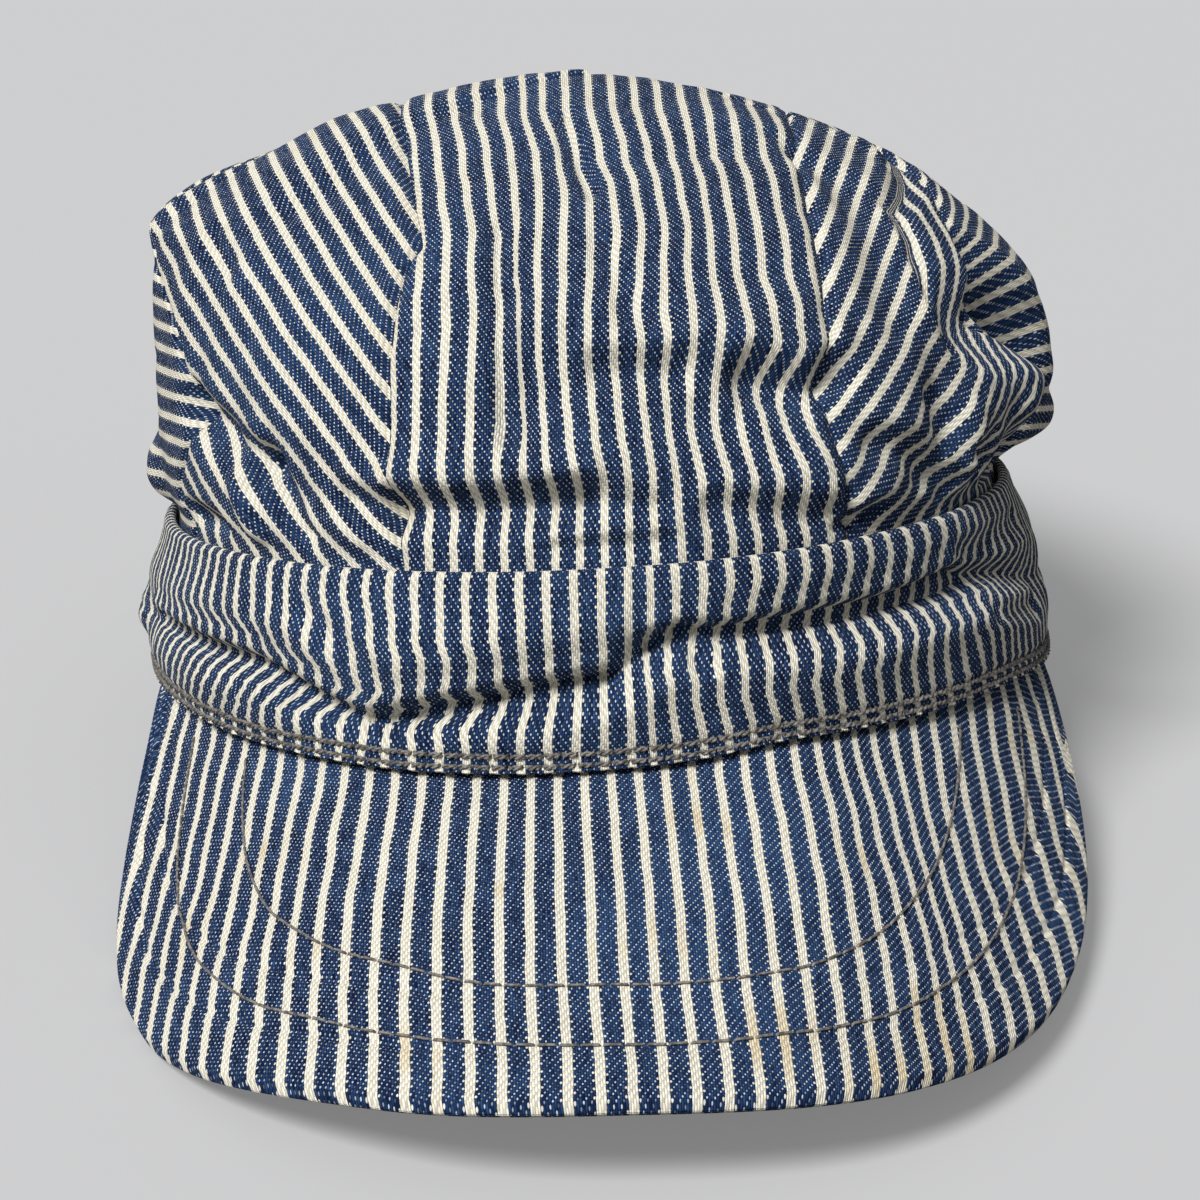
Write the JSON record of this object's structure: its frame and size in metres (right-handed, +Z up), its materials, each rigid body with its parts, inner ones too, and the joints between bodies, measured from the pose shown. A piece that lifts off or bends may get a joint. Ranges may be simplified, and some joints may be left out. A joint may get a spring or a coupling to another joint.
{
  "type": "railroad engineer cap",
  "caption": "Soft cap of striped cotton with a slumped panelled crown, a deep band and a curved stitched visor.",
  "frame": {"origin": "middle of the cap's box on the surface that it rests on", "axes": "+Z up, the visor towards -Y, +X to the left of a wearer, which is the right of a viewer in front"},
  "size_m": [0.161, 0.2708, 0.112],
  "materials": {
    "crown_cloth": "matt striped cotton twill",
    "band_cloth": "matt striped cotton twill",
    "visor_cloth": "matt striped cotton twill, slightly faded"
  },
  "bodies": {
    "root": {"crown_center_strip": "crown_cloth", "crown_left_front_panel": "crown_cloth", "crown_left_back_panel": "crown_cloth", "crown_right_front_panel": "crown_cloth", "crown_right_back_panel": "crown_cloth", "band": "band_cloth", "visor_top": "visor_cloth", "visor_under": "visor_cloth"}
  },
  "joints": []
}
